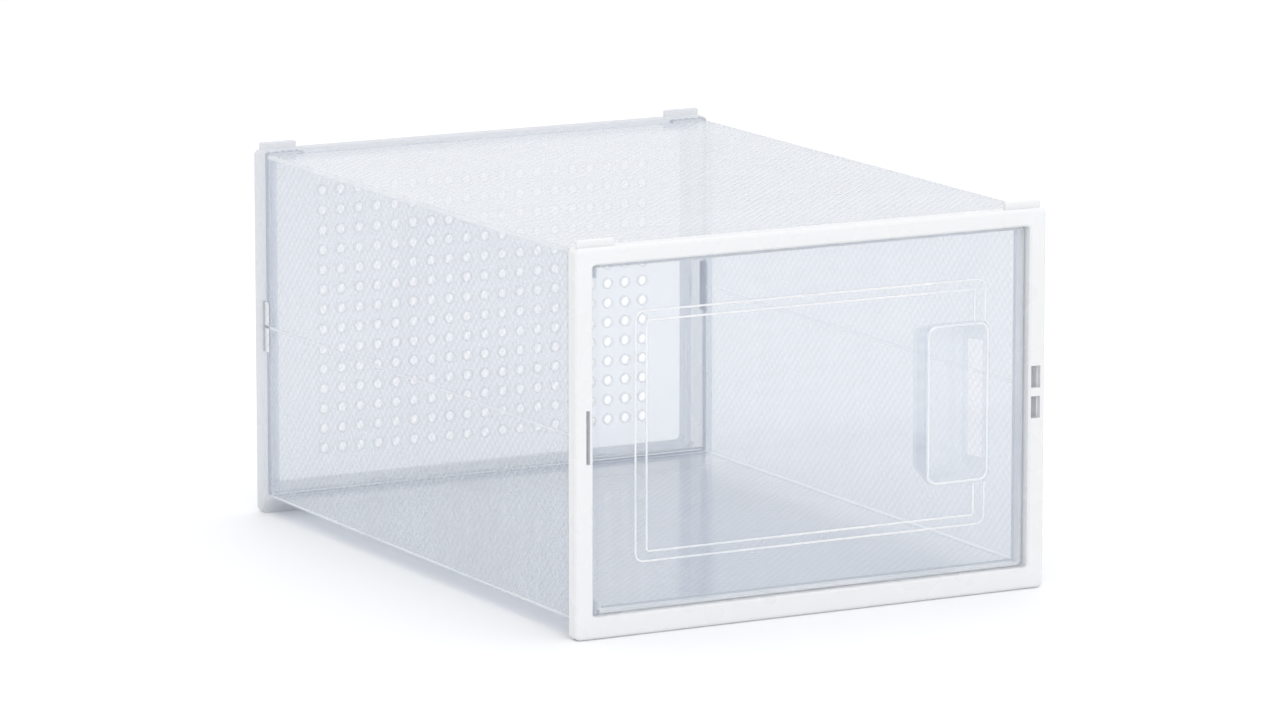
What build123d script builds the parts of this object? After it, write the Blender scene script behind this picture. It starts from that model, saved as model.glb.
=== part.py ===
from build123d import *
import os

# Stackable shoe box. A clear sheet, creased and folded into a tube, is held open between a
# moulded front frame and a moulded rear frame. A clear door hangs on the left of the front
# frame, and a perforated clear panel closes the back.
#
# Millimetres. X runs across the box, Y from the front (negative) to the back, Z up.
# The origin is at the middle of the footprint, on the surface that the box stands on.

# ---- Overall sizes ----
WIDTH = 250.0
DEPTH = 340.0
HEIGHT = 182.0  # from the feet to the top of the frames: the pitch of a stack

# ---- Folded sheet tube ----
SHEET = 0.8  # thickness of the sheet
COLLAR_WALL = 1.2  # how far the frames stand proud of the sheet
TUBE_LIFT = 8.5  # the tube's underside above the feet
TUBE_DROP = 1.4  # the tube's top below the top of the frames
TUBE_CORNER = 2.0  # outer radius of a folded corner
LEAST_CORNER = 0.4  # radius of the inner outlines, however far they are brought in
SHEET_CLEARANCE = 0.1  # between the sheet and a frame, each side
CREASE_HEIGHT = 1.5  # height of the thinned strip at half height
CREASE_THICKNESS = 0.4
CORNER_CREASE_INSET = 0.15  # how much a corner crease is thinned on each side

# ---- Front frame ----
FRAME_DEPTH = 12.0  # of the part inside the tube
COLLAR_DEPTH = 7.5  # of the part round the tube
FRAME_CORNER = 3.0
FRAME_EDGE_RADIUS = 2.2  # rounding of the outer front edges
STILE = 9.0  # face width of the uprights
TOP_RAIL = 8.25
SILL_WALL = 1.2  # the doorway's sill above the tube's bottom panel
FACE_WALL = 2.5  # thickness of the front face over the cored channel
DOORWAY_WALL = 1.6  # wall between the doorway and the cored channel
SPIGOT_WALL = 1.5  # wall that stands inside the end of the tube
GROOVE_DEPTH = 4.5  # how far the front groove takes the sheet
DOORWAY_CHAMFER = 1.0  # bevel along the doorway's front edge
DOORWAY_CORNER = 1.5  # less than the door's gaps allow
STOP_WIDTH = 2.5  # ledge that the closed door stops against
STOP_THICKNESS = 2.0
STOP_CLEARANCE = 0.3  # between the closed door and the ledge
STOP_START = 10.0  # the ledge begins this far from the hinge side of the doorway

# ---- Lock windows in the stiles, at the height of the crease ----
WINDOW_HEIGHT = 25.0
RIGHT_WINDOW_WIDTH = 5.0
RIGHT_WINDOW_INSET = 1.0  # from the doorway's edge
WINDOW_BRIDGE = 4.0
LEFT_SLOT_WIDTH = 2.0
LEFT_SLOT_INSET = 1.8

# ---- Feet, stacking tabs and their sockets ----
REAR_FOOT_DEPTH = 8.0
TAB_LENGTH = 19.0
TAB_HEIGHT = 3.5
TAB_THICKNESS = 2.0
TAB_FROM_SIDE = 2.2
TAB_FROM_FACE = 4.0  # the tab's middle behind the outer face of its frame
SOCKET_CLEARANCE = 0.3
SOCKET_DEPTH = 4.2
TAB_LEAD_IN = 0.6  # chamfer round the top of a tab
TAB_BLOCK_DROP = 0.8  # a rear tab's corner block below the top of the frame

# ---- Rear frame ----
REAR_DEPTH = 10.0
REAR_GAP = 4.0  # groove between the end of the tube and the rear frame
REAR_SPIGOT = 10.0  # length of the spigot inside the tube
REAR_LIP_WIDTH = 10.0  # face width of the rear uprights
REAR_TOP_RAIL = 7.5
REAR_BOTTOM_RAIL = 14.0
BACK_CORNER = 3.0
BACK_REBATE = 3.0  # how far the back panel laps behind the rear frame's lip
BACK_REBATE_CLEARANCE = 0.2
TONGUE_HEIGHT = 25.0  # tongue of each side that bridges the gap to the rear frame
TONGUE_REACH = 3.0  # how far the tongue enters the rear frame
NIB_LENGTH = 12.0  # nibs that keep the back panel in its rebate
NIB_REACH = 0.9
NIB_THICKNESS = 1.2

# ---- Back panel ----
BACK_THICKNESS = 1.2
BACK_SET_IN = 5.6  # the panel's rear face in front of the frame's rear face
HOLE_PITCH = 10.0
HOLE_RADIUS = 2.3
HOLE_MARGIN_SIDE = 24.5  # least distance from a hole's middle to the opening's sides
HOLE_MARGIN_END = 15.0  # the same to the opening's top and bottom
RIM_WIDTH = 0.7
RIM_HEIGHT = 0.3

# ---- Door ----
DOOR_GAP = 0.8  # between the door and the stiles
DOOR_END_GAP = 0.6  # between the door and the rails
DOOR_SETBACK = 3.5  # the door's face behind the frame's face
DOOR_PLATE = 1.5
DOOR_LIP_DEPTH = 5.5
DOOR_LIP_WALL = 1.5
DOOR_CORNER = 2.5
BARREL_RADIUS = 2.4
PIN_RADIUS = 1.3
PIN_SEAT = 6.0  # length of a pin inside the door
PIN_REACH = 4.6  # length of a pin beyond the door's end
PIN_END_CLEARANCE = 0.5
PIN_RUNNING_CLEARANCE = 0.06
PIN_SEAT_CLEARANCE = 0.02
PIN_PANEL_CLEARANCE = 0.2  # the bottom panel stops this far short of the lower pin
PIN_CHAMFER = 0.4

# ---- Raised border on the door ----
BORDER_FROM_SIDE = 23.0  # from the door's edges to the border's outer outline
BORDER_FROM_END = 23.3
BORDER_WIDTH_X = 5.8
BORDER_WIDTH_Z = 4.5
BORDER_HEIGHT = 0.8
BORDER_CORNER = 4.0
BORDER_INNER_CORNER = 1.5

# ---- Finger pocket ----
POCKET_WIDTH = 32.0
POCKET_OVERHANG = 2.0  # how far its mouth reaches beyond the border's outer outline
POCKET_HEIGHT = 74.5
POCKET_DEPTH = 17.0
POCKET_DRAFT = 3.6  # how much each wall leans in from mouth to floor
POCKET_CORNER = 4.5
POCKET_WALL = 1.2
GRIP_HEIGHT = 56.0  # open part of the pocket's free-side wall
GRIP_FRONT = 3.5  # wall left in front of it, behind the door's face
GRIP_BACK = 2.4  # wall left behind it

# ---- Door catch ----
CATCH_SPREAD = 71.0  # distance between the two catch nubs
NUB_RADIUS = 1.2
NUB_HEIGHT = 0.4
DIMPLE_CLEARANCE = 0.4
DIMPLE_DEPTH = 0.8

# ---- Places worked out from the sizes ----
SIDE = WIDTH / 2
FRONT = -DEPTH / 2
BACK = DEPTH / 2

TUBE_SIDE = SIDE - COLLAR_WALL
TUBE_TOP = HEIGHT - TUBE_DROP
TUBE_BOTTOM = TUBE_LIFT
MID_HEIGHT = (TUBE_TOP + TUBE_BOTTOM) / 2

DOORWAY_SIDE = SIDE - STILE
DOORWAY_TOP = HEIGHT - TOP_RAIL
DOORWAY_BOTTOM = TUBE_BOTTOM + SHEET + SILL_WALL
FRAME_BACK = FRONT + FRAME_DEPTH

REAR_FACE = BACK - REAR_DEPTH
COLLAR_BACK = FRONT + COLLAR_DEPTH
TUBE_FRONT = COLLAR_BACK - GROOVE_DEPTH + 2 * SHEET_CLEARANCE
TUBE_BACK = REAR_FACE - REAR_GAP
BACK_FRONT = BACK - BACK_SET_IN - BACK_THICKNESS

DOOR_FACE = FRONT + DOOR_SETBACK
DOOR_REAR = DOOR_FACE + DOOR_LIP_DEPTH
DOOR_FREE = DOORWAY_SIDE - DOOR_GAP
DOOR_TOP = DOORWAY_TOP - DOOR_END_GAP
DOOR_BOTTOM = DOORWAY_BOTTOM + DOOR_END_GAP
DOOR_MIDDLE = (DOOR_TOP + DOOR_BOTTOM) / 2
HINGE_X = -DOORWAY_SIDE + DOOR_GAP + BARREL_RADIUS
HINGE_Y = DOOR_FACE + BARREL_RADIUS
DOOR_LIP_MIDDLE = (DOOR_FACE + DOOR_PLATE + DOOR_REAR) / 2

BORDER_SIDE = DOORWAY_SIDE - BORDER_FROM_SIDE
BORDER_TOP = DOORWAY_TOP - BORDER_FROM_END
BORDER_BOTTOM = DOORWAY_BOTTOM + BORDER_FROM_END
POCKET_X = BORDER_SIDE + POCKET_OVERHANG - POCKET_WIDTH / 2
POCKET_FLOOR = DOOR_FACE + POCKET_DEPTH

TAB_X = SIDE - TAB_FROM_SIDE - TAB_LENGTH / 2
TAB_Y_FRONT = FRONT + TAB_FROM_FACE
TAB_Y_REAR = BACK - TAB_FROM_FACE


def facing_front(y):
    """The upright plane at y. Its x is the box's X, its y is the box's Z, and it faces the front."""
    return Plane.XZ.offset(-y)


def panel(x_low, x_high, z_low, z_high, radius=0.0, mode=Mode.ADD):
    """Draw a rectangle between two corners, with rounded corners where a radius is given."""
    with Locations(((x_low + x_high) / 2, (z_low + z_high) / 2)):
        if radius > 0:
            RectangleRounded(x_high - x_low, z_high - z_low, radius, mode=mode)
        else:
            Rectangle(x_high - x_low, z_high - z_low, mode=mode)


def tube_outline(inset, mode=Mode.ADD):
    """Draw the tube's outline, brought in by the inset; a negative inset makes it larger."""
    panel(
        -TUBE_SIDE + inset,
        TUBE_SIDE - inset,
        TUBE_BOTTOM + inset,
        TUBE_TOP - inset,
        max(TUBE_CORNER - inset, LEAST_CORNER),
        mode,
    )


def pocket_outline(margin, corner):
    """Draw the finger pocket's outline, larger than its mouth by the margin on every side."""
    with Locations((POCKET_X, DOOR_MIDDLE)):
        RectangleRounded(POCKET_WIDTH + 2 * margin, POCKET_HEIGHT + 2 * margin, corner)


def finish(piece, name):
    """Label a finished piece and write it to its own file."""
    piece.part.label = name
    export_step(piece.part, f"parts/{name}.step")


os.makedirs("parts", exist_ok=True)

# The spigot's outer and inner faces, measured in from the outside of the tube.
SPIGOT_OUTER = SHEET + SHEET_CLEARANCE
SPIGOT_INNER = SPIGOT_OUTER + SPIGOT_WALL

# ---- Front frame: a picture frame whose collar takes the end of the tube ----
with BuildPart() as front_frame:
    with BuildSketch(facing_front(FRAME_BACK)):
        panel(-SIDE, SIDE, 0, HEIGHT, FRAME_CORNER)
    extrude(amount=FRAME_DEPTH)
    front_edges = front_frame.faces().sort_by(Axis.Y)[0].edges()
    fillet(front_edges, FRAME_EDGE_RADIUS)

    # Doorway, bevelled along its front edge
    with BuildSketch(facing_front(FRAME_BACK)):
        panel(-DOORWAY_SIDE, DOORWAY_SIDE, DOORWAY_BOTTOM, DOORWAY_TOP, DOORWAY_CORNER)
    extrude(amount=FRAME_DEPTH, mode=Mode.SUBTRACT)
    doorway_edges = front_frame.faces().sort_by(Axis.Y)[0].inner_wires().edges()
    chamfer(doorway_edges, DOORWAY_CHAMFER)

    # Behind the collar, only the part inside the tube goes on
    with BuildSketch(facing_front(FRAME_BACK)):
        panel(-SIDE, SIDE, 0, HEIGHT)
        tube_outline(SPIGOT_OUTER, mode=Mode.SUBTRACT)
    extrude(amount=FRAME_DEPTH - COLLAR_DEPTH, mode=Mode.SUBTRACT)

    # Groove for the end of the tube
    with BuildSketch(facing_front(COLLAR_BACK)):
        tube_outline(-SHEET_CLEARANCE)
        tube_outline(SPIGOT_OUTER, mode=Mode.SUBTRACT)
    extrude(amount=GROOVE_DEPTH, mode=Mode.SUBTRACT)

    # Cored channels behind the stiles and the top rail
    channel_outer = TUBE_SIDE - SPIGOT_INNER
    channel_inner = DOORWAY_SIDE + DOORWAY_WALL
    channel_bottom = DOORWAY_BOTTOM + STILE
    channel_top = DOORWAY_TOP - STILE
    with BuildSketch(facing_front(FRAME_BACK)):
        panel(channel_inner, channel_outer, channel_bottom, channel_top)
        panel(-channel_outer, -channel_inner, channel_bottom, channel_top)
        panel(
            HINGE_X + STILE,
            channel_outer - STILE,
            DOORWAY_TOP + DOORWAY_WALL,
            TUBE_TOP - SPIGOT_INNER,
        )
    extrude(amount=FRAME_DEPTH - FACE_WALL, mode=Mode.SUBTRACT)

    # Lock windows: a bridged one in the free-side stile, a thin slot in the hinge-side stile
    window_low = MID_HEIGHT - WINDOW_HEIGHT / 2
    window_high = MID_HEIGHT + WINDOW_HEIGHT / 2
    right_window = DOORWAY_SIDE + RIGHT_WINDOW_INSET
    left_slot = -DOORWAY_SIDE - LEFT_SLOT_INSET
    with BuildSketch(facing_front(FRONT)):
        panel(right_window, right_window + RIGHT_WINDOW_WIDTH, window_low, MID_HEIGHT - WINDOW_BRIDGE / 2)
        panel(right_window, right_window + RIGHT_WINDOW_WIDTH, MID_HEIGHT + WINDOW_BRIDGE / 2, window_high)
        panel(left_slot - LEFT_SLOT_WIDTH, left_slot, window_low, window_high)
    extrude(amount=-FACE_WALL, mode=Mode.SUBTRACT)

    # Ledge that the closed door stops against, on every side but the hinge's
    stop_back = DOOR_REAR + STOP_CLEARANCE + STOP_THICKNESS
    with BuildSketch(facing_front(stop_back)):
        panel(-DOORWAY_SIDE + STOP_START, DOORWAY_SIDE, DOORWAY_BOTTOM, DOORWAY_TOP)
        panel(
            -DOORWAY_SIDE + STOP_START,
            DOORWAY_SIDE - STOP_WIDTH,
            DOORWAY_BOTTOM + STOP_WIDTH,
            DOORWAY_TOP - STOP_WIDTH,
            mode=Mode.SUBTRACT,
        )
    extrude(amount=STOP_THICKNESS)

    # Dimples that the door's catch nubs face
    with BuildSketch(Plane.YZ.offset(DOORWAY_SIDE)):
        with Locations((DOOR_LIP_MIDDLE, DOOR_MIDDLE)):
            with GridLocations(1, CATCH_SPREAD, 1, 2):
                Circle(NUB_RADIUS + DIMPLE_CLEARANCE)
    extrude(amount=DIMPLE_DEPTH, mode=Mode.SUBTRACT)

    # Bores for the hinge pins
    pin_length = PIN_REACH - DOOR_END_GAP + PIN_END_CLEARANCE
    with BuildSketch(Plane.XY.offset(DOORWAY_TOP)):
        with Locations((HINGE_X, HINGE_Y)):
            Circle(PIN_RADIUS + PIN_RUNNING_CLEARANCE)
    extrude(amount=pin_length, mode=Mode.SUBTRACT)
    with BuildSketch(Plane.XY.offset(DOORWAY_BOTTOM)):
        with Locations((HINGE_X, HINGE_Y)):
            Circle(PIN_RADIUS + PIN_RUNNING_CLEARANCE)
    extrude(amount=-pin_length, mode=Mode.SUBTRACT)

    # Sockets under the feet, and stacking tabs on the top rail
    with BuildSketch(Plane.XY):
        with Locations((-TAB_X, TAB_Y_FRONT), (TAB_X, TAB_Y_FRONT)):
            Rectangle(TAB_LENGTH + 2 * SOCKET_CLEARANCE, TAB_THICKNESS + 2 * SOCKET_CLEARANCE)
    extrude(amount=SOCKET_DEPTH, mode=Mode.SUBTRACT)
    with BuildSketch(Plane.XY.offset(HEIGHT)):
        with Locations((-TAB_X, TAB_Y_FRONT), (TAB_X, TAB_Y_FRONT)):
            Rectangle(TAB_LENGTH, TAB_THICKNESS)
    extrude(amount=TAB_HEIGHT)
    chamfer(front_frame.faces().group_by(Axis.Z)[-1].edges(), TAB_LEAD_IN)

# ---- Rear frame: a shallower frame with a spigot inside the tube and a rebate for the back ----
with BuildPart() as rear_frame:
    with BuildSketch(facing_front(BACK)):
        panel(-SIDE, SIDE, 0, HEIGHT, FRAME_CORNER)
    extrude(amount=REAR_DEPTH)
    fillet(rear_frame.faces().sort_by(Axis.Y)[-1].edges(), FRAME_EDGE_RADIUS)

    # Spigot inside the tube
    with BuildSketch(facing_front(REAR_FACE)):
        tube_outline(SPIGOT_OUTER)
    extrude(amount=REAR_SPIGOT)
    with BuildSketch(facing_front(REAR_FACE)):
        tube_outline(SPIGOT_INNER)
    extrude(amount=REAR_SPIGOT, mode=Mode.SUBTRACT)

    # Opening, and the rebate that the back panel lies in
    back_side = SIDE - REAR_LIP_WIDTH
    back_bottom = REAR_BOTTOM_RAIL
    back_top = HEIGHT - REAR_TOP_RAIL
    with BuildSketch(facing_front(BACK)):
        panel(-back_side, back_side, back_bottom, back_top, BACK_CORNER)
    extrude(amount=REAR_DEPTH, mode=Mode.SUBTRACT)
    rebate = BACK_REBATE + BACK_REBATE_CLEARANCE
    with BuildSketch(facing_front(BACK_FRONT + BACK_THICKNESS)):
        panel(-back_side - rebate, back_side + rebate, back_bottom - rebate, back_top + rebate, BACK_CORNER)
    extrude(amount=BACK_FRONT + BACK_THICKNESS - REAR_FACE, mode=Mode.SUBTRACT)

    # Nibs that keep the back panel in the rebate
    nib_front = BACK_FRONT - BACK_REBATE_CLEARANCE
    nib_reach = NIB_REACH + BACK_REBATE_CLEARANCE
    nib_side = back_side + rebate - nib_reach / 2
    nib_low = back_bottom - rebate + nib_reach / 2
    nib_high = back_top + rebate - nib_reach / 2
    with BuildSketch(facing_front(nib_front)):
        with Locations((-nib_side, MID_HEIGHT), (nib_side, MID_HEIGHT)):
            Rectangle(nib_reach, NIB_LENGTH)
        with Locations((-SIDE / 2, nib_low), (SIDE / 2, nib_low), (-SIDE / 2, nib_high), (SIDE / 2, nib_high)):
            Rectangle(NIB_LENGTH, nib_reach)
    extrude(amount=NIB_THICKNESS)

    # Corner blocks that carry the rear stacking tabs across the gap
    with BuildSketch(facing_front(REAR_FACE)):
        for tab_x in (-TAB_X, TAB_X):
            panel(
                tab_x - TAB_LENGTH / 2,
                tab_x + TAB_LENGTH / 2,
                TUBE_TOP - SPIGOT_INNER,
                HEIGHT - TAB_BLOCK_DROP,
            )
    extrude(amount=REAR_GAP - SHEET_CLEARANCE)

    # Slots for the side tongues
    with BuildSketch(facing_front(REAR_FACE)):
        tongue_x = TUBE_SIDE - SHEET / 2
        with Locations((-tongue_x, MID_HEIGHT), (tongue_x, MID_HEIGHT)):
            Rectangle(SHEET + 2 * SHEET_CLEARANCE, TONGUE_HEIGHT + 2 * SHEET_CLEARANCE)
    extrude(amount=-TONGUE_REACH - SHEET_CLEARANCE, mode=Mode.SUBTRACT)

    # Underside: it rises from the foot to the tube
    with BuildSketch(Plane.YZ):
        with BuildLine():
            Polyline(
                (BACK - REAR_FOOT_DEPTH, 0),
                (REAR_FACE, TUBE_BOTTOM - COLLAR_WALL),
                (REAR_FACE, 0),
                close=True,
            )
        make_face()
    extrude(amount=SIDE, both=True, mode=Mode.SUBTRACT)

    # Sockets under the feet, and stacking tabs on the top rail
    with BuildSketch(Plane.XY):
        with Locations((-TAB_X, TAB_Y_REAR), (TAB_X, TAB_Y_REAR)):
            Rectangle(TAB_LENGTH + 2 * SOCKET_CLEARANCE, TAB_THICKNESS + 2 * SOCKET_CLEARANCE)
    extrude(amount=SOCKET_DEPTH, mode=Mode.SUBTRACT)
    with BuildSketch(Plane.XY.offset(HEIGHT)):
        with Locations((-TAB_X, TAB_Y_REAR), (TAB_X, TAB_Y_REAR)):
            Rectangle(TAB_LENGTH, TAB_THICKNESS)
    extrude(amount=TAB_HEIGHT)
    chamfer(rear_frame.faces().group_by(Axis.Z)[-1].edges(), TAB_LEAD_IN)

# ---- Back panel: a flat plate with a grid of rimmed air holes ----
hole_columns = int((2 * back_side - 2 * HOLE_MARGIN_SIDE) / HOLE_PITCH) + 1
hole_rows = int((back_top - back_bottom - 2 * HOLE_MARGIN_END) / HOLE_PITCH) + 1
with BuildPart() as back_panel:
    with BuildSketch(facing_front(BACK_FRONT + BACK_THICKNESS)):
        panel(
            -back_side - BACK_REBATE,
            back_side + BACK_REBATE,
            back_bottom - BACK_REBATE,
            back_top + BACK_REBATE,
            BACK_CORNER,
        )
    extrude(amount=BACK_THICKNESS)
    with BuildSketch(facing_front(BACK_FRONT + BACK_THICKNESS + RIM_HEIGHT)):
        with Locations((0, MID_HEIGHT)):
            with GridLocations(HOLE_PITCH, HOLE_PITCH, hole_columns, hole_rows):
                Circle(HOLE_RADIUS + RIM_WIDTH)
    extrude(amount=BACK_THICKNESS + 2 * RIM_HEIGHT)
    with BuildSketch(facing_front(BACK_FRONT + BACK_THICKNESS + RIM_HEIGHT)):
        with Locations((0, MID_HEIGHT)):
            with GridLocations(HOLE_PITCH, HOLE_PITCH, hole_columns, hole_rows):
                Circle(HOLE_RADIUS)
    extrude(amount=BACK_THICKNESS + 2 * RIM_HEIGHT, mode=Mode.SUBTRACT)

# ---- Tube: flat panels joined by creases ----
TUBE_LENGTH = TUBE_BACK - TUBE_FRONT
BOTTOM_FRONT = HINGE_Y + PIN_RADIUS + PIN_PANEL_CLEARANCE

with BuildPart() as top_panel:
    with BuildSketch(facing_front(TUBE_BACK)):
        panel(-TUBE_SIDE + TUBE_CORNER, TUBE_SIDE - TUBE_CORNER, TUBE_TOP - SHEET, TUBE_TOP)
    extrude(amount=TUBE_LENGTH)

with BuildPart() as bottom_panel:
    with BuildSketch(facing_front(TUBE_BACK)):
        panel(-TUBE_SIDE + TUBE_CORNER, TUBE_SIDE - TUBE_CORNER, TUBE_BOTTOM, TUBE_BOTTOM + SHEET)
    extrude(amount=TUBE_BACK - BOTTOM_FRONT)

crease_low = MID_HEIGHT - CREASE_HEIGHT / 2
crease_high = MID_HEIGHT + CREASE_HEIGHT / 2
tongue_low = MID_HEIGHT - TONGUE_HEIGHT / 2
tongue_high = MID_HEIGHT + TONGUE_HEIGHT / 2
tongue_reach = REAR_GAP + TONGUE_REACH
leaves = {}
for side_name, sheet_low, sheet_high in (
    ("left", -TUBE_SIDE, -TUBE_SIDE + SHEET),
    ("right", TUBE_SIDE - SHEET, TUBE_SIDE),
):
    with BuildPart() as upper_leaf:
        with BuildSketch(facing_front(TUBE_BACK)):
            panel(sheet_low, sheet_high, crease_high, TUBE_TOP - TUBE_CORNER)
        extrude(amount=TUBE_LENGTH)
        with BuildSketch(facing_front(TUBE_BACK)):
            panel(sheet_low, sheet_high, crease_high, tongue_high)
        extrude(amount=-tongue_reach)
    leaves[side_name + "_upper_leaf"] = upper_leaf

    with BuildPart() as lower_leaf:
        with BuildSketch(facing_front(TUBE_BACK)):
            panel(sheet_low, sheet_high, TUBE_BOTTOM + TUBE_CORNER, crease_low)
        extrude(amount=TUBE_LENGTH)
        with BuildSketch(facing_front(TUBE_BACK)):
            panel(sheet_low, sheet_high, tongue_low, crease_low)
        extrude(amount=-tongue_reach)
    leaves[side_name + "_lower_leaf"] = lower_leaf

    # The thinned strip at half height lies against the inside of the sheet
    inner_face = sheet_high if side_name == "left" else sheet_low
    inward = 1 if side_name == "left" else -1
    strip_faces = sorted((inner_face, inner_face - inward * CREASE_THICKNESS))
    with BuildPart() as side_crease:
        with BuildSketch(facing_front(TUBE_BACK)):
            panel(strip_faces[0], strip_faces[1], crease_low, crease_high)
        extrude(amount=TUBE_LENGTH)
    leaves[side_name + "_side_crease"] = side_crease

# Each corner crease is a quarter of a ring, thinner than the sheet
CORNER_X = TUBE_SIDE - TUBE_CORNER
CORNER_TOP = TUBE_TOP - TUBE_CORNER
CORNER_BOTTOM = TUBE_BOTTOM + TUBE_CORNER
crease_outer = TUBE_CORNER - CORNER_CREASE_INSET
crease_inner = TUBE_CORNER - SHEET + CORNER_CREASE_INSET
for corner_name, corner_x, corner_z, start_angle in (
    ("top_right_crease", CORNER_X, CORNER_TOP, 0),
    ("top_left_crease", -CORNER_X, CORNER_TOP, 90),
    ("bottom_left_crease", -CORNER_X, CORNER_BOTTOM, 180),
    ("bottom_right_crease", CORNER_X, CORNER_BOTTOM, 270),
):
    with BuildPart() as corner_crease:
        with BuildSketch(facing_front(TUBE_BACK)):
            with BuildLine(Location((corner_x, corner_z))):
                outer_arc = CenterArc((0, 0), crease_outer, start_angle, 90)
                inner_arc = CenterArc((0, 0), crease_inner, start_angle, 90)
                Line(outer_arc @ 0, inner_arc @ 0)
                Line(outer_arc @ 1, inner_arc @ 1)
            make_face()
        extrude(amount=TUBE_LENGTH)
    leaves[corner_name] = corner_crease

# ---- Door: a clear plate with a hinge barrel and a raised border ----
with BuildPart() as door:
    with BuildSketch(facing_front(DOOR_FACE + DOOR_PLATE)):
        panel(HINGE_X - DOOR_CORNER, DOOR_FREE, DOOR_BOTTOM, DOOR_TOP, DOOR_CORNER)
        panel(HINGE_X - DOOR_CORNER, HINGE_X, DOOR_BOTTOM, DOOR_TOP, mode=Mode.SUBTRACT)
    extrude(amount=DOOR_PLATE)

    # Hinge barrel along the whole height
    with BuildSketch(Plane.XY.offset(DOOR_BOTTOM)):
        with Locations((HINGE_X, HINGE_Y)):
            Circle(BARREL_RADIUS)
    extrude(amount=DOOR_TOP - DOOR_BOTTOM)

    # Raised border
    with BuildSketch(facing_front(DOOR_FACE)):
        panel(-BORDER_SIDE, BORDER_SIDE, BORDER_BOTTOM, BORDER_TOP, BORDER_CORNER)
        panel(
            -BORDER_SIDE + BORDER_WIDTH_X,
            BORDER_SIDE - BORDER_WIDTH_X,
            BORDER_BOTTOM + BORDER_WIDTH_Z,
            BORDER_TOP - BORDER_WIDTH_Z,
            BORDER_INNER_CORNER,
            mode=Mode.SUBTRACT,
        )
    extrude(amount=BORDER_HEIGHT)

    # Hole that the finger pocket's rim fills
    with BuildSketch(facing_front(DOOR_FACE + DOOR_PLATE)):
        pocket_outline(POCKET_WALL, POCKET_CORNER + POCKET_WALL)
    extrude(amount=DOOR_PLATE + BORDER_HEIGHT, mode=Mode.SUBTRACT)

    # Seats for the hinge pins
    with BuildSketch(Plane.XY.offset(DOOR_TOP)):
        with Locations((HINGE_X, HINGE_Y)):
            Circle(PIN_RADIUS + PIN_SEAT_CLEARANCE)
    extrude(amount=-PIN_SEAT, mode=Mode.SUBTRACT)
    with BuildSketch(Plane.XY.offset(DOOR_BOTTOM)):
        with Locations((HINGE_X, HINGE_Y)):
            Circle(PIN_RADIUS + PIN_SEAT_CLEARANCE)
    extrude(amount=PIN_SEAT, mode=Mode.SUBTRACT)

# ---- Return lip: it stands behind the door's top, bottom and free edges ----
with BuildPart() as door_lip:
    lip_start = HINGE_X + BARREL_RADIUS
    with BuildSketch(facing_front(DOOR_REAR)):
        panel(lip_start - DOOR_CORNER, DOOR_FREE, DOOR_BOTTOM, DOOR_TOP, DOOR_CORNER)
        panel(
            lip_start - DOOR_CORNER,
            DOOR_FREE - DOOR_LIP_WALL,
            DOOR_BOTTOM + DOOR_LIP_WALL,
            DOOR_TOP - DOOR_LIP_WALL,
            mode=Mode.SUBTRACT,
        )
        panel(lip_start - DOOR_CORNER, lip_start, DOOR_BOTTOM, DOOR_TOP, mode=Mode.SUBTRACT)
    extrude(amount=DOOR_LIP_DEPTH - DOOR_PLATE)

    # Catch nubs on the free edge
    with BuildSketch(Plane.YZ.offset(DOOR_FREE)):
        with Locations((DOOR_LIP_MIDDLE, DOOR_MIDDLE)):
            with GridLocations(1, CATCH_SPREAD, 1, 2):
                Circle(NUB_RADIUS)
    extrude(amount=NUB_HEIGHT)

# ---- Finger pocket: a drafted cup, open towards the door's free edge ----
with BuildPart() as finger_pocket:
    with BuildSketch(facing_front(DOOR_FACE + DOOR_PLATE)):
        pocket_outline(POCKET_WALL, POCKET_CORNER + POCKET_WALL)
    extrude(amount=DOOR_PLATE)
    with BuildSketch(facing_front(DOOR_FACE + DOOR_PLATE)):
        pocket_outline(POCKET_WALL, POCKET_CORNER + POCKET_WALL)
    with BuildSketch(facing_front(POCKET_FLOOR + POCKET_WALL)):
        pocket_outline(POCKET_WALL - POCKET_DRAFT, POCKET_CORNER)
    loft()
    with BuildSketch(facing_front(DOOR_FACE)):
        pocket_outline(0, POCKET_CORNER)
    with BuildSketch(facing_front(POCKET_FLOOR)):
        pocket_outline(-POCKET_DRAFT, POCKET_CORNER - POCKET_WALL)
    loft(mode=Mode.SUBTRACT)

    # The wall towards the free edge is open for the fingertips
    with BuildSketch(facing_front(POCKET_FLOOR - GRIP_BACK)):
        panel(
            POCKET_X,
            POCKET_X + POCKET_WIDTH / 2 + POCKET_WALL,
            DOOR_MIDDLE - GRIP_HEIGHT / 2,
            DOOR_MIDDLE + GRIP_HEIGHT / 2,
        )
    extrude(amount=POCKET_DEPTH - GRIP_BACK - GRIP_FRONT, mode=Mode.SUBTRACT)

# ---- Hinge pins ----
pins = {}
for pin_name, pin_start in (
    ("lower_hinge_pin", DOOR_BOTTOM - PIN_REACH),
    ("upper_hinge_pin", DOOR_TOP - PIN_SEAT),
):
    with BuildPart() as hinge_pin:
        with BuildSketch(Plane.XY.offset(pin_start)):
            with Locations((HINGE_X, HINGE_Y)):
                Circle(PIN_RADIUS)
        extrude(amount=PIN_REACH + PIN_SEAT)
        chamfer(hinge_pin.edges().filter_by(GeomType.CIRCLE), PIN_CHAMFER)
    pins[pin_name] = hinge_pin

finish(front_frame, "front_frame")
finish(rear_frame, "rear_frame")
finish(back_panel, "back_panel")
finish(top_panel, "top_panel")
finish(bottom_panel, "bottom_panel")
finish(door, "door")
finish(door_lip, "door_lip")
finish(finger_pocket, "finger_pocket")
for piece_name, piece in (leaves | pins).items():
    finish(piece, piece_name)
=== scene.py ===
import math

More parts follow.
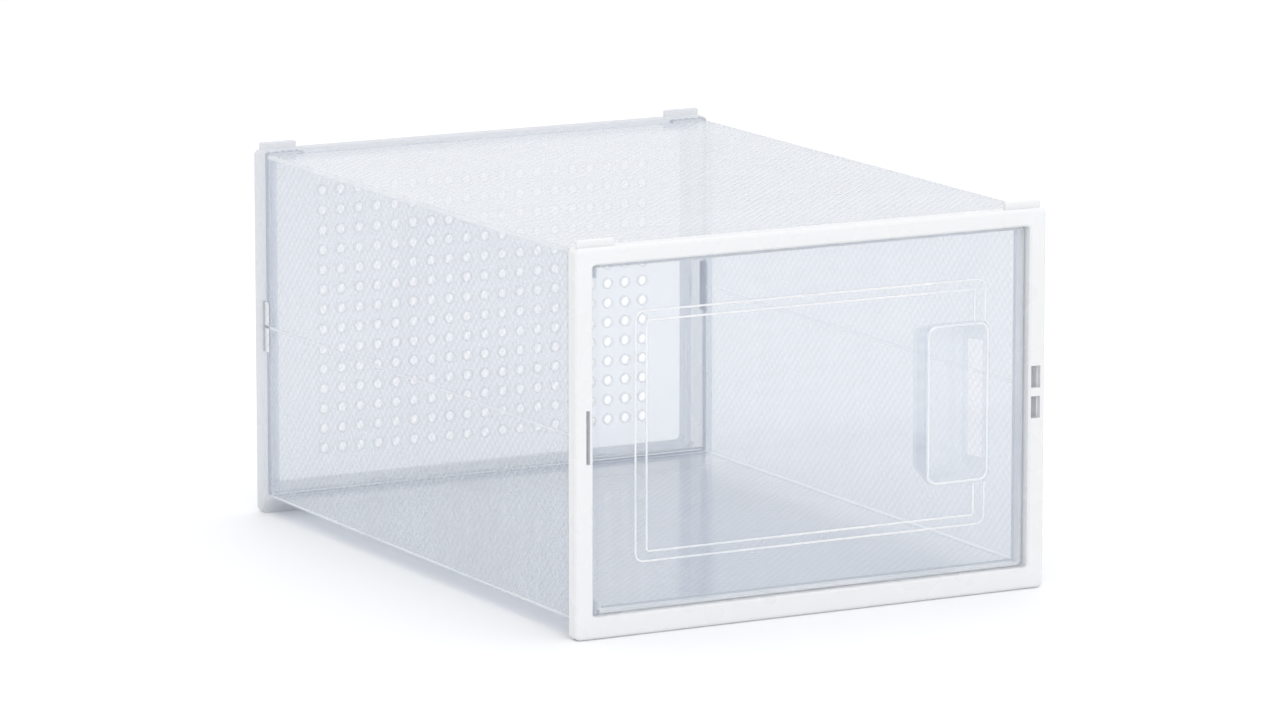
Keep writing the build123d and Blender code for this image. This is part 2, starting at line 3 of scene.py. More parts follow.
import bmesh
import bpy
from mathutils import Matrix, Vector


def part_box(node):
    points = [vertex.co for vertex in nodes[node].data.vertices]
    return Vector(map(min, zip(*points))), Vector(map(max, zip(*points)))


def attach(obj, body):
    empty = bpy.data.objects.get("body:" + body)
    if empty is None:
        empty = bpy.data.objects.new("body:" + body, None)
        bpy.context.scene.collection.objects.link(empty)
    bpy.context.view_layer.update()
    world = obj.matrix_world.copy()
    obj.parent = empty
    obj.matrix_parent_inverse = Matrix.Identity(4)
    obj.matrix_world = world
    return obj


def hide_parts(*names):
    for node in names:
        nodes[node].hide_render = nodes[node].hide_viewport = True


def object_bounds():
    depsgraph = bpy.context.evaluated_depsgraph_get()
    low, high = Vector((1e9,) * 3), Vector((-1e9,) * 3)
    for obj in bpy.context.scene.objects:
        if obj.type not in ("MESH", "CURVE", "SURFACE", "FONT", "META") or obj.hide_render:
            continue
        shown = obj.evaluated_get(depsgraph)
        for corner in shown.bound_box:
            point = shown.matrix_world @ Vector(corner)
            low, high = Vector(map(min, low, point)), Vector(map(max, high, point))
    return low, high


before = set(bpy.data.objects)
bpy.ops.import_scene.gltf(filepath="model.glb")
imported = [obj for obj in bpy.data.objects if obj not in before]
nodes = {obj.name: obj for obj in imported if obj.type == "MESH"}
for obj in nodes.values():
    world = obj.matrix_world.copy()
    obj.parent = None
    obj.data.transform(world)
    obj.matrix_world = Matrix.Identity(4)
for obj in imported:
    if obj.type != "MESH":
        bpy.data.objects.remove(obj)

# A clear stackable shoe box: milky moulded frames, an embossed clear sheet folded into a tube,
# a perforated clear back and a clear door with a raised border and a finger pocket.
# Lengths are in metres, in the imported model's own frame: X across, Y to the back, Z up.

MM = 0.001
X, Y, Z = 0, 1, 2
cad_box = [list(corner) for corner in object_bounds()]

# ---------------------------------------------------------------- sizes of the looks
EMBOSS_PITCH = 5.2 * MM  # distance between the points of the diamonds
EMBOSS_LINE = 0.40 * MM  # half the width of a ridge
EMBOSS_DEPTH = 0.12 * MM  # how deep a diamond lies below the ridges
EDGE_SOFTNESS = 0.3 * MM  # rounding of a moulded edge
SMOOTH_ANGLE = math.radians(32)  # a sharper edge than this is rounded over
FLAT_ANGLE = math.radians(0.6)  # faces that meet flatter than this are one face
WELD_DISTANCE = 0.002 * MM
CUT_TOLERANCE = 0.001 * MM
AREA_WEIGHTED = 100  # smooth shading follows the large faces
# The beads are white ribs that carry painted highlights of the door's raised border and of the
# pocket's mouth.
BEAD_RADIUS = 0.5 * MM  # fine rib along the raised border's two outlines
POCKET_BEAD_RADIUS = 0.6 * MM  # and the one round the pocket's mouth
BEAD_RISE = 0.1 * MM  # from the door's face to the middle of the pocket's bead
ARC_STEPS = 8  # segments of a rounded corner
TONGUE_HALF = 12.5 * MM  # half the height of the tongues at the tube's back end
TONGUE_REACH = 3 * MM  # how far the tongues enter the rear frame
COLLAR_DEPTH = 7.5 * MM  # of the front frame's part round the tube
INSIDE_HALF = 122 * MM  # half the width within which the rear frame looks into the box,
INSIDE_LOW = 20 * MM  # and the heights between which it does
INSIDE_HIGH = 179 * MM
TURNED_ALONG_Y = 0.5  # a face whose normal has a larger Y than this lies across the box
RIM_SOFTNESS = 0.1 * MM
RIM_RISE = 0.3 * MM  # how far a hole's rim stands over the back panel
RIM_START = 0.7  # share of that rise beyond which a face belongs to the rim
RIM_MARGIN = 1 * MM  # no rim is as near as this to the back panel's edges
RIM_LEAN = 0.9  # a face whose normal has a smaller Y than this is a hole's wall or edge
FACE_TOLERANCE = 0.1 * MM  # points this near a face's plane are taken to lie on it
BORDER_WIDTH_X = 5.8 * MM
BORDER_WIDTH_Z = 4.5 * MM
BORDER_CORNER = 4.0 * MM
BORDER_INNER_CORNER = 1.5 * MM
POCKET_WALL = 1.2 * MM
POCKET_CORNER = 4.5 * MM
TAB_MIDDLE = 113.3 * MM  # from the box's middle to a rear corner block's middle
TAB_BLOCK_TOP = 181.2 * MM
RIB_COUNT = 5  # ribs on each rear corner block
RIB_PITCH = 3.8 * MM
RIB_RADIUS = 0.45 * MM
RIB_INSET = 0.6 * MM

# ---------------------------------------------------------------- looks of the plastics
PLASTIC_IOR = 1.49
HEAD_ON_GLOSS = 0.034  # share of light that clear plastic reflects when seen head on
SCHLICK_POWER = 5
EVEN_BLEND = 0.5  # of a Layer Weight, so that its Facing is 1 minus the cosine of the angle
PATTERN_LOW = 0.3  # most of a noise pattern lies between these two
PATTERN_HIGH = 0.7
CLOUD_SCALE = 14  # scales of the patterns, in waves per metre: clouds in the milky plastic,
FLOW_SCALE = 60  # its patches of gloss,
SKIN_SCALE = 300  # the waviness of its skin,
HAZE_SCALE = 22  # haze in the clear plastic,
POLISH_SCALE = 140  # and patches of gloss on it
SOFT_DETAIL = 1.0  # detail of the calm patterns
SKIN_DEPTH = 0.004 * MM
CLOUD_SWING = 0.2  # how much the clouds change the share seen straight through
HAZE_SWING = 0.25  # how much the haze changes the milky share
PALE_GAIN = 1.06  # how much paler than its milky colour the haze gets
# The milky line along each ridge is a painted highlight in place of the ridges' glints.
RIDGE_FADE_OUT = 1.3  # a ridge's milky line ends at this many half widths,
RIDGE_FULL = 0.5  # and is at its full strength within this many

# ---------------------------------------------------------------- floor, lights and camera
FLOOR_HALF = 6.0
FLOOR_COLOUR = (0.93, 0.935, 0.94, 1)
FLOOR_ROUGHNESS = 0.6
WORLD_COLOUR = (1.0, 1.0, 1.0, 1)
WORLD_STRENGTH = 1.0
CAMERA_OFFSET = (-1.648, -3.043, 0.638)  # from the box's middle, at the photograph's angle
CAMERA_LENS = 205
CAMERA_SENSOR = 36
CLEAR_WALLS = 48  # the most clear walls that a ray of light goes straight through
LIGHT_BOUNCES = 12


# ---------------------------------------------------------------- meshes
def new_object(name, mesh):
    piece = bpy.data.objects.new(name, mesh)
    bpy.context.scene.collection.objects.link(piece)
    return piece


def apply_modifiers(piece):
    depsgraph = bpy.context.evaluated_depsgraph_get()
    mesh = bpy.data.meshes.new_from_object(piece.evaluated_get(depsgraph))
    piece.modifiers.clear()
    piece.data = mesh


def softened(node, name, width=EDGE_SOFTNESS, segments=2, edge_slot=-1, cuts=()):
    """A copy of a CAD node with its moulded edges rounded over. edge_slot is the material slot
    of the rounded edges, and cuts are places along Y where faces are divided."""
    form = bmesh.new()
    form.from_mesh(nodes[node].data)
    bmesh.ops.remove_doubles(form, verts=form.verts, dist=WELD_DISTANCE)
    bmesh.ops.dissolve_limit(form, angle_limit=FLAT_ANGLE, verts=form.verts, edges=form.edges)
    for place in cuts:
        cut(form, Y, place)
    mesh = bpy.data.meshes.new(name)
    form.to_mesh(mesh)
    form.free()
    piece = new_object(name, mesh)
    while len(piece.data.materials) <= edge_slot:
        piece.data.materials.append(None)
    bevel = piece.modifiers.new("edges", "BEVEL")
    bevel.material = edge_slot
    bevel.width = width
    bevel.segments = segments
    bevel.limit_method = "ANGLE"
    bevel.angle_limit = SMOOTH_ANGLE
    bevel.use_clamp_overlap = True
    apply_modifiers(piece)
    piece.data.shade_smooth()
    piece.data.set_sharp_from_angle(angle=SMOOTH_ANGLE)
    weighted = piece.modifiers.new("normals", "WEIGHTED_NORMAL")
    weighted.keep_sharp = True
    weighted.weight = AREA_WEIGHTED
    apply_modifiers(piece)
    return piece


def diamond_cells(form, low, high, place):
    """Diamond cells that cover a rectangle of the sheet; place puts (u, v, depth) in space."""
    half = EMBOSS_PITCH / 2
    inner = half - EMBOSS_LINE * math.sqrt(2)
    around = [(1, 0), (0, 1), (-1, 0), (0, -1)]
    grid = {}

    def corner(column, row):
        if (column, row) not in grid:
            grid[column, row] = form.verts.new(place(column * half, row * half, 0.0))
        return grid[column, row]

    columns = range(math.floor(low[0] / half) - 1, math.ceil(high[0] / half) + 2)
    rows = range(math.floor(low[1] / half) - 1, math.ceil(high[1] / half) + 2)
    for column in columns:
        for row in rows:
            if (column + row) % 2:
                continue
            u = column * half
            v = row * half
            rim = [corner(column + du, row + dv) for du, dv in around]
            floor = [
                form.verts.new(place(u + du * inner, v + dv * inner, EMBOSS_DEPTH))
                for du, dv in around
            ]
            form.faces.new(floor)
            for k in range(4):
                form.faces.new((rim[k], rim[(k + 1) % 4], floor[(k + 1) % 4], floor[k]))


def cut(form, axis, value, side=0):
    """Cut the mesh at a plane across an axis; a side of 1 or -1 also clears what lies beyond it."""
    point = [0.0, 0.0, 0.0]
    point[axis] = value
    normal = [0.0, 0.0, 0.0]
    normal[axis] = side or 1
    bmesh.ops.bisect_plane(
        form,
        geom=form.verts[:] + form.edges[:] + form.faces[:],
        dist=CUT_TOLERANCE,
        plane_co=point,
        plane_no=normal,
        clear_outer=side != 0,
    )


def embossed_sheet(node, name, v_axis, out_axis, out_sign, tongue):
    """A panel of the sheet with its outer face embossed. It runs along Y; v_axis is its other
    direction, and it faces out_sign along out_axis. tongue is None, or the tube's back end, the v
    where the tongue behind it stops, and the sign of the side of v that is cleared there."""
    low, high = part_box(node)
    surface = high[out_axis] if out_sign > 0 else low[out_axis]
    thickness = high[out_axis] - low[out_axis]

    def place(u, v, depth):
        point = [0.0, 0.0, 0.0]
        point[Y] = u
        point[v_axis] = v
        point[out_axis] = surface - out_sign * depth
        return point

    form = bmesh.new()
    diamond_cells(form, (low[Y], low[v_axis]), (high[Y], high[v_axis]), place)
    cut(form, Y, low[Y], -1)
    cut(form, Y, high[Y], 1)
    cut(form, v_axis, low[v_axis], -1)
    cut(form, v_axis, high[v_axis], 1)
    if tongue:
        tube_end, tongue_edge, beyond = tongue
        cut(form, Y, tube_end)
        cut(form, v_axis, tongue_edge)
        spare = []
        for face in form.faces:
            centre = face.calc_center_median()
            if centre[Y] > tube_end and (centre[v_axis] - tongue_edge) * beyond > 0:
                spare.append(face)
        bmesh.ops.delete(form, geom=spare, context="FACES")
    border = [edge for edge in form.edges if edge.is_boundary]
    walls = bmesh.ops.extrude_edge_only(form, edges=border)["geom"]
    back = surface - out_sign * thickness
    for vert in (item for item in walls if isinstance(item, bmesh.types.BMVert)):
        vert.co[out_axis] = back
    back_edges = [edge for edge in form.edges if edge.is_boundary]
    bmesh.ops.contextual_create(form, geom=back_edges)
    bmesh.ops.recalc_face_normals(form, faces=form.faces)
    mesh = bpy.data.meshes.new(name)
    form.to_mesh(mesh)
    form.free()
    return new_object(name, mesh)


def arc(centre, radius, start, end):
    """Points (x, z) of an arc, with its angles in degrees."""
    points = []
    for step in range(ARC_STEPS + 1):
        angle = math.radians(start + (end - start) * step / ARC_STEPS)
        points.append((centre[0] + radius * math.cos(angle), centre[1] + radius * math.sin(angle)))
    return points


def inset(sides, across, up):
    """A rectangle's left, right, bottom and top, each moved inwards."""
    left, right, bottom, top = sides
    return (left + across, right - across, bottom + up, top - up)


def outline(sides, radius, y, gap=None):
    """A rounded rectangle at y with the sides left, right, bottom and top, clockwise from its
    right side, where gap leaves out the stretch between two heights."""
    left, right, bottom, top = sides
    points = []
    if gap:
        points.append((right, gap[0]))
    points += arc((right - radius, bottom + radius), radius, 0, -90)
    points += arc((left + radius, bottom + radius), radius, -90, -180)
    points += arc((left + radius, top - radius), radius, 180, 90)
    points += arc((right - radius, top - radius), radius, 90, 0)
    if gap:
        points.append((right, gap[1]))
    return [(x, y, z) for x, z in points]


def beads(name, paths, radius, closed):
    """Fine round ribs in one piece, each along a path of (x, y, z) points. closed says whether
    each path returns to its start."""
    curve = bpy.data.curves.new(name + "_path", "CURVE")
    curve.dimensions = "3D"
    curve.bevel_depth = radius
    curve.bevel_resolution = 2
    curve.use_fill_caps = True
    for path in paths:
        spline = curve.splines.new("POLY")
        spline.points.add(len(path) - 1)
        for point, place in zip(spline.points, path):
            point.co = (*place, 1)
        spline.use_cyclic_u = closed
    guide = bpy.data.objects.new(name + "_path", curve)
    bpy.context.scene.collection.objects.link(guide)
    depsgraph = bpy.context.evaluated_depsgraph_get()
    mesh = bpy.data.meshes.new_from_object(guide.evaluated_get(depsgraph))
    bpy.data.objects.remove(guide)
    mesh.shade_smooth()
    return new_object(name, mesh)


# ---------------------------------------------------------------- materials
def shader_node(tree, kind, inputs=None, **settings):
    """Add a node; an input given as a socket is linked, and any other value is set."""
    added = tree.nodes.new(kind)
    for setting, value in settings.items():
        setattr(added, setting, value)
    for name, value in (inputs or {}).items():
        if isinstance(value, bpy.types.NodeSocket):
            tree.links.new(value, added.inputs[name])
        else:
            added.inputs[name].default_value = value
    return added


def calculate(tree, operation, *values):
    step = shader_node(tree, "ShaderNodeMath", dict(enumerate(values)), operation=operation)
    return step.outputs[0]


def mixed(tree, share, first, second):
    """Two shaders mixed; share is how much there is of the second."""
    return shader_node(tree, "ShaderNodeMixShader", {0: share, 1: first, 2: second}).outputs[0]


def noise(tree, scale, detail=3.0):
    """A smooth pattern about 0.5; its scale is in waves per metre."""
    place = shader_node(tree, "ShaderNodeTexCoord").outputs["Object"]
    pattern = shader_node(
        tree, "ShaderNodeTexNoise", {"Vector": place, "Scale": scale, "Detail": detail}
    )
    return pattern.outputs["Fac"]


def spread(tree, pattern, low, high):
    """The pattern stretched so that it runs from low to high."""
    stretch = shader_node(
        tree,
        "ShaderNodeMapRange",
        {
            "Value": pattern,
            "From Min": PATTERN_LOW,
            "From Max": PATTERN_HIGH,
            "To Min": low,
            "To Max": high,
        },
    )
    return stretch.outputs["Result"]


def between(tree, pattern, first, second):
    """A colour that goes from the first to the second with the pattern."""
    factor = spread(tree, pattern, 0, 1)
    blend = shader_node(tree, "ShaderNodeMix", {"Factor": factor}, data_type="RGBA")
    blend.inputs["A"].default_value = (*first, 1)
    blend.inputs["B"].default_value = (*second, 1)
    return blend.outputs["Result"]


def bump(tree, pattern, depth):
    raised = shader_node(
        tree, "ShaderNodeBump", {"Height": pattern, "Distance": depth, "Strength": 1.0}
    )
    return raised.outputs["Normal"]


def start_material(name):
    material = bpy.data.materials.new(name)
    material.use_nodes = True
    tree = material.node_tree
    return material, tree, tree.nodes["Principled BSDF"], tree.nodes["Material Output"]


def backlit(tree, shader, colour, glow):
    """A milky body: the shader, with a share of it lit from behind in the same colour."""
    lit_behind = shader_node(tree, "ShaderNodeBsdfTranslucent", {"Color": colour})
    return mixed(tree, glow, shader.outputs[0], lit_behind.outputs[0])


def moulded(name, pale, deep, rough, glow=0.3, translucency=0.0):
    """Milky moulded plastic: a slightly cloudy colour and a faintly wavy satin skin. glow is how
    much of it is lit from behind, and translucency how much can be seen straight through."""
    material, tree, shader, output = start_material(name)
    shader.inputs["IOR"].default_value = PLASTIC_IOR
    cloud = noise(tree, CLOUD_SCALE, SOFT_DETAIL)
    colour = between(tree, cloud, deep, pale)
    gloss_patches = spread(tree, noise(tree, FLOW_SCALE, SOFT_DETAIL), rough[0], rough[1])
    skin = bump(tree, noise(tree, SKIN_SCALE, SOFT_DETAIL), SKIN_DEPTH)
    tree.links.new(colour, shader.inputs["Base Color"])
    tree.links.new(gloss_patches, shader.inputs["Roughness"])
    tree.links.new(skin, shader.inputs["Normal"])
    milky = backlit(tree, shader, colour, glow)
    through = shader_node(tree, "ShaderNodeBsdfTransparent", {"Color": (*deep, 1)})
    least = translucency * (1 - CLOUD_SWING)
    most = translucency * (1 + CLOUD_SWING)
    whole = mixed(tree, spread(tree, cloud, least, most), milky, through.outputs[0])
    tree.links.new(whole, output.inputs["Surface"])
    return material


def ridge_mask(tree, v_axis):
    """1 on the ridges of the embossed diamonds and 0 between them, on the grid of diamond_cells."""
    place = shader_node(tree, "ShaderNodeTexCoord").outputs["Object"]
    parts = shader_node(tree, "ShaderNodeSeparateXYZ", {"Vector": place})
    half = EMBOSS_PITCH / 2
    u = calculate(tree, "DIVIDE", parts.outputs[Y], half)
    v = calculate(tree, "DIVIDE", parts.outputs[v_axis], half)
    total = calculate(tree, "ADD", calculate(tree, "ADD", u, v), 1)
    difference = calculate(tree, "ADD", calculate(tree, "SUBTRACT", u, v), 1)
    rising = calculate(tree, "PINGPONG", total, 1)
    falling = calculate(tree, "PINGPONG", difference, 1)
    nearest = calculate(tree, "MINIMUM", rising, falling)
    edge = EMBOSS_LINE * math.sqrt(2) / half
    mask = shader_node(
        tree,
        "ShaderNodeMapRange",
        {"Value": nearest, "From Min": edge * RIDGE_FADE_OUT, "From Max": edge * RIDGE_FULL},
    )
    return mask.outputs["Result"]


def glancing_gloss(tree):
    """How much a thin clear wall reflects: Schlick's curve, the same from both of its sides."""
    weight = shader_node(tree, "ShaderNodeLayerWeight", {"Blend": EVEN_BLEND})
    rise = calculate(tree, "POWER", weight.outputs["Facing"], SCHLICK_POWER)
    return calculate(tree, "MULTIPLY_ADD", rise, 1 - HEAD_ON_GLOSS, HEAD_ON_GLOSS)


def clear(name, tint, milk, milk_share, rough, glow, ridges=None, ridge_highlight_share=0.0):
    """Clear plastic: light goes straight through with a tint, apart from a milky share of haze and,
    at glancing angles, the gloss of its skin. glow is how much of the haze is lit from behind.
    ridges is the v axis of an embossed sheet, and the ridges' share is a painted highlight: the
    milky white that its ridges add in place of their glints."""
    material, tree, shader, output = start_material(name)
    shader.inputs["IOR"].default_value = PLASTIC_IOR
    haze = noise(tree, HAZE_SCALE)
    pale = tuple(min(1.0, channel * PALE_GAIN) for channel in milk)
    colour = between(tree, haze, milk, pale)
    gloss_patches = spread(tree, noise(tree, POLISH_SCALE), rough[0], rough[1])
    tree.links.new(colour, shader.inputs["Base Color"])
    tree.links.new(gloss_patches, shader.inputs["Roughness"])
    milky = backlit(tree, shader, colour, glow)
    share = spread(tree, haze, milk_share * (1 - HAZE_SWING), milk_share * (1 + HAZE_SWING))
    # A painted highlight: the ridges get a whiter, milkier line in place of their glints.
    if ridges is not None:
        ridge_highlight_lines = calculate(tree, "MULTIPLY", ridge_mask(tree, ridges), ridge_highlight_share)
        share = calculate(tree, "ADD", share, ridge_highlight_lines)
    through = shader_node(tree, "ShaderNodeBsdfTransparent", {"Color": (*tint, 1)})
    body = mixed(tree, share, through.outputs[0], milky)
    gloss = shader_node(
        tree, "ShaderNodeBsdfGlossy", {"Color": (1, 1, 1, 1), "Roughness": rough[0]}
    )
    whole = mixed(tree, glancing_gloss(tree), body, gloss.outputs[0])
    tree.links.new(whole, output.inputs["Surface"])
    return material


# Milky plastics: palest and deepest colour, least and most roughness.
SATIN = (0.26, 0.32)
WHITE_FRAME = moulded(
    "white_frame", (0.845, 0.853, 0.865), (0.837, 0.846, 0.859), (0.26, 0.30), glow=0.12
)
INNER_FRAME = moulded(
    "inner_frame", (0.88, 0.895, 0.915), (0.86, 0.88, 0.90), SATIN, glow=0.5, translucency=0.6
)
REAR_FRAME = moulded(
    "rear_frame", (0.86, 0.868, 0.885), (0.845, 0.856, 0.875), SATIN, glow=0.4, translucency=0.3
)
# A paler, more see-through copy of the rear frame plastic for the faces inside the tube and those
# that look into the box: painted light that lifts their shade.
SPIGOT_LIGHTENED = moulded(
    "rear_spigot_lightened", (0.94, 0.95, 0.965), (0.93, 0.94, 0.96), SATIN, glow=0.5, translucency=0.85
)
# A dark grey on the rear frame's faces along the groove between the tube and the frame: painted
# shade of that narrow gap.
GROOVE_SHADE = moulded(
    "frame_groove_shade", (0.58, 0.62, 0.68), (0.54, 0.58, 0.645), (0.35, 0.5), translucency=0.2
)
PIN = moulded("hinge_pin", (0.78, 0.81, 0.85), (0.72, 0.75, 0.80), (0.2, 0.3))

# Clear plastics: tint, milky colour, milky share, least and most roughness, glow, and on the
# embossed sheets the v axis and the painted highlight that the ridges add, as a milky share.
SHEET_TINT = (0.917, 0.925, 0.941)
SHEET_MILK = (0.775, 0.805, 0.85)
SHEET_ROUGH = (0.12, 0.22)
# The four sheets are one plastic, but the ridges' painted highlight is set per sheet: strongest on
# the top and faintest on the far side.
SIDE_SHEET = clear("side_sheet", SHEET_TINT, SHEET_MILK, 0.10, SHEET_ROUGH, 0.4, Z, 0.19)
FAR_SHEET = clear("far_sheet", SHEET_TINT, SHEET_MILK, 0.10, SHEET_ROUGH, 0.5, Z, 0.09)
TOP_SHEET = clear("top_sheet", SHEET_TINT, SHEET_MILK, 0.10, SHEET_ROUGH, 0.3, X, 0.5)
FLOOR_SHEET = clear("floor_sheet", SHEET_TINT, SHEET_MILK, 0.14, SHEET_ROUGH, 0.4, X, 0.2)
CREASE = clear("crease", (0.96, 0.97, 0.98), (0.96, 0.97, 0.985), 0.62, (0.25, 0.4), 0.7)
TONGUE = clear("sheet_tongue", (0.97, 0.98, 0.99), (0.95, 0.96, 0.98), 0.9, (0.2, 0.3), 0.3)
BACK = clear("clear_back", (0.935, 0.943, 0.957), (0.82, 0.845, 0.885), 0.10, (0.08, 0.16), 0.45)
# A near white, milky copy of the clear back for the holes' rims and walls: painted highlight in
# place of the glints on the holes' edges, plus real light from behind through its translucent
# share.
RIM_HIGHLIGHT = clear("hole_rim_highlight", (0.99, 0.99, 0.995), (0.98, 0.985, 0.99), 0.85, (0.2, 0.3), 0.5)
DOOR = clear("clear_door", (0.96, 0.966, 0.977), (0.83, 0.855, 0.89), 0.06, (0.05, 0.10), 0.3)
# A milky, near white copy of the clear door for its lip: painted light that lifts the lip's shade.
LIP_LIGHTENED = clear("door_lip", (0.98, 0.985, 0.99), (0.96, 0.972, 0.985), 0.85, (0.10, 0.2), 0.25)
# Milky white on the rounded edges of the door, its lip and its pocket: painted highlight in place
# of the glints of clear edges.
EDGE_HIGHLIGHT = clear("clear_edge_highlight", (0.97, 0.98, 0.99), (0.96, 0.975, 0.99), 0.6, (0.10, 0.2), 0.6)
# A milky white for the beads on the door: painted highlight of the border's outlines and the
# pocket's mouth.
BEAD_HIGHLIGHT = clear("door_line_highlight", (0.97, 0.98, 0.99), (0.96, 0.975, 0.99), 0.85, (0.15, 0.25), 0.4)
POCKET = clear("clear_pocket", (0.96, 0.968, 0.98), (0.88, 0.90, 0.935), 0.18, (0.06, 0.12), 0.3)


def dress(mesh, *materials):
    """Give a mesh these materials in place of its own."""
    mesh.materials.clear()
    for material in materials:
        mesh.materials.append(material)


def wear(piece, materials, body, slot, *replaced):
    """Give a piece its materials and body, and hide the CAD nodes it stands for; slot is not used.
    """
    dress(piece.data, *materials)
    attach(piece, body)
    if replaced:
        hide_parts(*replaced)


def choose_faces(piece, slot, chosen):
    """Put a material slot on the faces that chosen picks."""
    for face in piece.data.polygons:
        if chosen(face):
            face.material_index = slot


# ---------------------------------------------------------------- frames
tube_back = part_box("top_panel")[1][Y]
rear_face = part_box("left_upper_leaf")[1][Y] - TONGUE_REACH
middle_height = (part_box("left_upper_leaf")[0][Z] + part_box("left_lower_leaf")[1][Z]) / 2
collar_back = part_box("front_frame")[0][Y] + COLLAR_DEPTH


def looks_inside(face):
    """Whether a rear frame's face looks into the box, above its bottom rail."""
    x, _, z = face.center
    if abs(x) > INSIDE_HALF or not INSIDE_LOW < z < INSIDE_HIGH:
        return False
    to_middle = face.normal[X] * x + face.normal[Z] * (z - middle_height) < 0
    return face.normal[Y] < -TURNED_ALONG_Y or to_middle


def in_groove(face):
    """Whether a rear frame's face lies along the groove between the tube and the frame."""
    return tube_back < face.center[Y] < rear_face and abs(face.normal[Y]) < TURNED_ALONG_Y


front = softened("front_frame", "front_frame_moulding", cuts=(collar_back,))
wear(front, [WHITE_FRAME, INNER_FRAME], "box", "frame_plastic", "front_frame")
choose_faces(front, 1, lambda face: face.center[Y] > collar_back)

rear = softened("rear_frame", "rear_frame_moulding", cuts=(tube_back,))
wear(rear, [REAR_FRAME, GROOVE_SHADE, SPIGOT_LIGHTENED], "box", "rear_frame_plastic", "rear_frame")
# The faces along the groove get the dark grey of painted shade.
choose_faces(rear, 1, in_groove)
# Faces inside the tube and faces looking into the box get the paler copy, painted light against
# their shade.
choose_faces(rear, 2, lambda face: face.center[Y] < tube_back or looks_inside(face))

# ---------------------------------------------------------------- folded sheet
tongue_top = (tube_back, middle_height + TONGUE_HALF, 1)
tongue_bottom = (tube_back, middle_height - TONGUE_HALF, -1)
for node, v_axis, out_axis, out_sign, tongue, material in (
    ("top_panel", X, Z, 1, None, TOP_SHEET),
    ("bottom_panel", X, Z, -1, None, FLOOR_SHEET),
    ("left_upper_leaf", Z, X, -1, tongue_top, SIDE_SHEET),
    ("left_lower_leaf", Z, X, -1, tongue_bottom, SIDE_SHEET),
    ("right_upper_leaf", Z, X, 1, tongue_top, FAR_SHEET),
    ("right_lower_leaf", Z, X, 1, tongue_bottom, FAR_SHEET),
):
    sheet = embossed_sheet(node, node + "_embossed", v_axis, out_axis, out_sign, tongue)
    wear(sheet, [material, TONGUE], "box", "clear_sheet", node)
    choose_faces(sheet, 1, lambda face: face.center[Y] > tube_back)

for node in nodes:
    if "crease" in node:
        dress(nodes[node].data, CREASE)

# ---------------------------------------------------------------- back panel
back = softened("back_panel", "back_panel_moulding", width=RIM_SOFTNESS, segments=1)
wear(back, [BACK, RIM_HIGHLIGHT], "box", "clear_back", "back_panel")
back_low, back_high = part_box("back_panel")
plate_low = back_low[Y] + RIM_RISE * RIM_START
plate_high = back_high[Y] - RIM_RISE * RIM_START


def on_rim(face):
    """Whether a back panel's face belongs to a hole's wall or rim."""
    inside = all(
        back_low[axis] + RIM_MARGIN < face.center[axis] < back_high[axis] - RIM_MARGIN
        for axis in (X, Z)
    )
    raised = not plate_low < face.center[Y] < plate_high
    return inside and (abs(face.normal[Y]) < RIM_LEAN or raised)


# The holes' walls and rims get the painted highlight.
choose_faces(back, 1, on_rim)

# ---------------------------------------------------------------- door
# Each moulding's rounded edges get the white of a painted highlight.
for node, material in (("door", DOOR), ("door_lip", LIP_LIGHTENED), ("finger_pocket", POCKET)):
    moulding = softened(node, node + "_moulding", edge_slot=1)
    wear(moulding, [material, EDGE_HIGHLIGHT], "door", "clear_door", node)
for node in ("upper_hinge_pin", "lower_hinge_pin"):
    dress(nodes[node].data, PIN)

door_points = [vertex.co for vertex in nodes["door"].data.vertices]
border_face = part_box("door")[0][Y]
border_points = [point for point in door_points if point[Y] < border_face + FACE_TOLERANCE]
border = (
    min(point[X] for point in border_points),
    max(point[X] for point in border_points),
    min(point[Z] for point in border_points),
    max(point[Z] for point in border_points),
)
border_inside = inset(border, BORDER_WIDTH_X, BORDER_WIDTH_Z)
pocket_low, pocket_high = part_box("finger_pocket")
pocket_sides = (pocket_low[X], pocket_high[X], pocket_low[Z], pocket_high[Z])
pocket_span = (pocket_low[Z], pocket_high[Z])
border_paths = [
    outline(border, BORDER_CORNER, border_face, pocket_span),
    outline(border_inside, BORDER_INNER_CORNER, border_face, pocket_span),
]
# White beads along the border's two outlines: painted highlights of its edges.
border_beads = beads("border_beads", border_paths, BEAD_RADIUS, False)
wear(border_beads, [BEAD_HIGHLIGHT], "door", "clear_door")

mouth = inset(pocket_sides, POCKET_WALL, POCKET_WALL)
pocket_path = outline(mouth, POCKET_CORNER, pocket_low[Y] - BEAD_RISE)
# The same painted highlight round the pocket's mouth.
pocket_bead = beads("pocket_bead", [pocket_path], POCKET_BEAD_RADIUS, True)
wear(pocket_bead, [BEAD_HIGHLIGHT], "door", "clear_door")

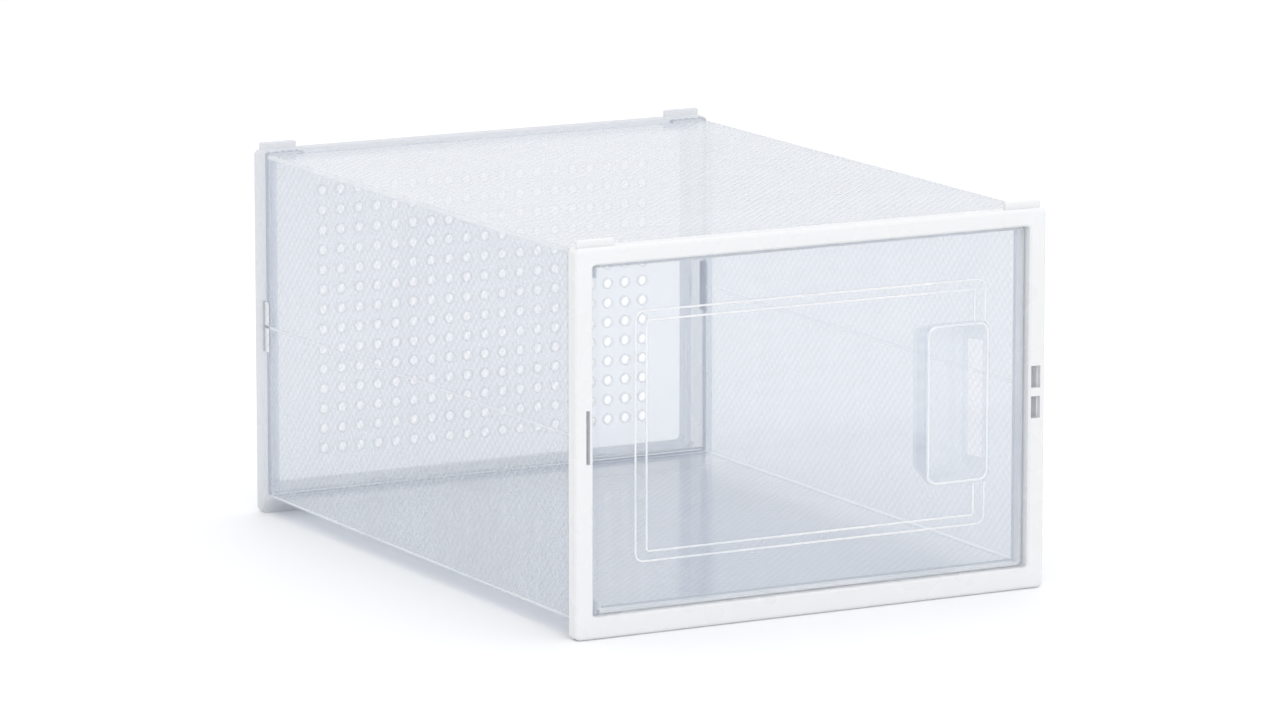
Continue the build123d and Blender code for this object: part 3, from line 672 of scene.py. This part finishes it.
# ---------------------------------------------------------------- ribs on the rear corner blocks
rib_front = tube_back + RIB_INSET
rib_back = rear_face + RIB_INSET
rib_paths = []
for side in (-1, 1):
    for step in range(RIB_COUNT):
        rib_x = side * (TAB_MIDDLE + (step - (RIB_COUNT - 1) / 2) * RIB_PITCH)
        rib_paths.append([(rib_x, rib_front, TAB_BLOCK_TOP), (rib_x, rib_back, TAB_BLOCK_TOP)])
ribs = beads("rear_block_ribs", rib_paths, RIB_RADIUS, False)
wear(ribs, [REAR_FRAME], "box", "rear_frame_plastic")

# ---------------------------------------------------------------- floor, light and camera
floor_mesh = bpy.data.meshes.new("floor")
form = bmesh.new()
bmesh.ops.create_grid(form, x_segments=1, y_segments=1, size=FLOOR_HALF)
form.to_mesh(floor_mesh)
form.free()
floor = new_object("floor", floor_mesh)
floor_material, _, floor_shader, _ = start_material("floor")
floor_shader.inputs["Base Color"].default_value = FLOOR_COLOUR
floor_shader.inputs["Roughness"].default_value = FLOOR_ROUGHNESS
floor.data.materials.append(floor_material)

world = bpy.data.worlds.new("studio")
bpy.context.scene.world = world
world.use_nodes = True
background = world.node_tree.nodes["Background"]
background.inputs["Color"].default_value = WORLD_COLOUR
background.inputs["Strength"].default_value = WORLD_STRENGTH


def area_light(name, place, target, size, power):
    """A soft rectangular light at place, turned to the target; its power is in watts."""
    data = bpy.data.lights.new(name, "AREA")
    data.shape = "RECTANGLE"
    data.size, data.size_y = size
    data.energy = power
    light = bpy.data.objects.new(name, data)
    bpy.context.scene.collection.objects.link(light)
    light.location = place
    light.rotation_euler = (Vector(target) - Vector(place)).to_track_quat("-Z", "Y").to_euler()


middle = (Vector(cad_box[0]) + Vector(cad_box[1])) / 2
area_light("key", place=(-0.5, -2.2, 1.6), target=middle, size=(1.4, 1.2), power=12)
area_light("overhead", place=(0.3, 0.4, 2.4), target=middle, size=(1.6, 1.6), power=9)

camera_data = bpy.data.cameras.new("camera")
camera = bpy.data.objects.new("camera", camera_data)
bpy.context.scene.collection.objects.link(camera)
camera.location = middle + Vector(CAMERA_OFFSET)
camera.rotation_euler = (middle - camera.location).to_track_quat("-Z", "Y").to_euler()
camera_data.lens = CAMERA_LENS
camera_data.sensor_width = CAMERA_SENSOR
bpy.context.scene.camera = camera
bpy.context.scene.view_settings.view_transform = "Standard"
bpy.context.scene.cycles.transparent_max_bounces = CLEAR_WALLS
bpy.context.scene.cycles.max_bounces = LIGHT_BOUNCES

bpy.context.view_layer.update()
